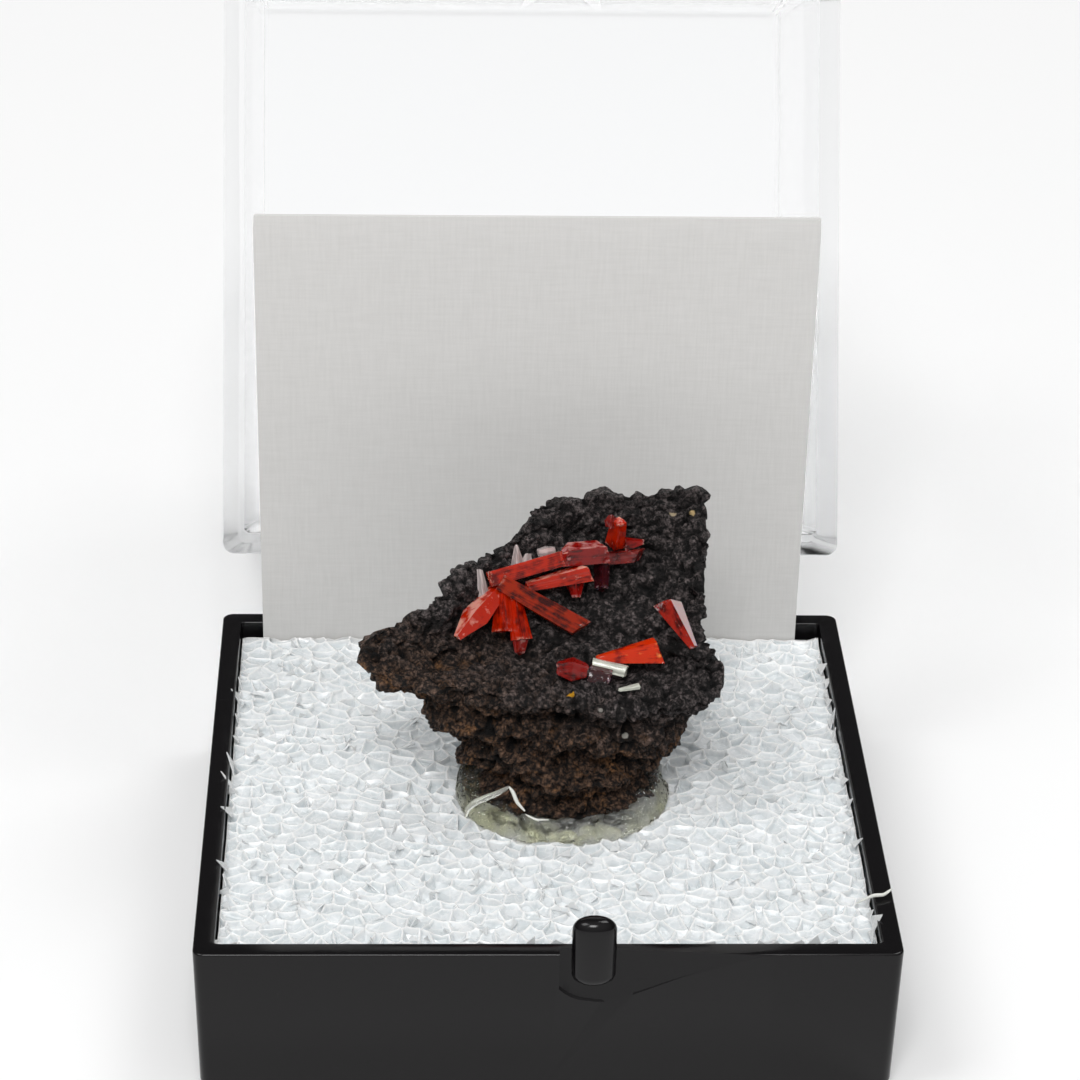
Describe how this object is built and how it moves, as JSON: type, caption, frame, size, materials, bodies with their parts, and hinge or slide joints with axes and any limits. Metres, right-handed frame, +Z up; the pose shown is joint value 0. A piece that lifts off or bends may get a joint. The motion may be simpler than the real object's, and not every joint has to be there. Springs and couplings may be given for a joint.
{
  "type": "crocoite specimen in a hinged display box",
  "caption": "Red crocoite crystals on dark gossan matrix, glued on foam in a small black tray with a clear hinged lid and a blank label card.",
  "frame": {"origin": "middle of the tray's flat underside", "axes": "+X to the right seen from the front, +Y to the hinge at the back, +Z up"},
  "size_m": [0.0318, 0.069, 0.0392],
  "materials": {
    "tray": "polished black polystyrene",
    "lid": "clear polished polystyrene",
    "foam": "white polyethylene foam with cut cells",
    "card": "pale grey linen-faced card",
    "glue": "clear yellowish hot-melt glue",
    "matrix": "granular black to rusty brown iron and manganese oxide",
    "crocoite": "glossy translucent red-orange crystal",
    "pale_crystal": "clear to pale glassy crystal"
  },
  "bodies": {
    "box": {"tray": "tray", "foam_pad": "foam", "label_card": "card", "glue_puddle": "glue", "matrix": "matrix", "crocoite_spray": "crocoite", "crocoite_right": "crocoite", "crocoite_lower": "crocoite", "crocoite_chunk": "crocoite", "pale_prism": "pale_crystal", "shard_left": "pale_crystal", "shard_right": "pale_crystal", "clear_flake": "pale_crystal", "pale_flake": "pale_crystal"},
    "lid": {"lid": "lid"}
  },
  "joints": [
    {"name": "lid_hinge", "type": "hinge", "parent": "box", "child": "lid", "pos_m": [0, 0.01713, 0.00895], "axis": [1, 0, 0], "range_deg": [0, 115.87]}
  ]
}
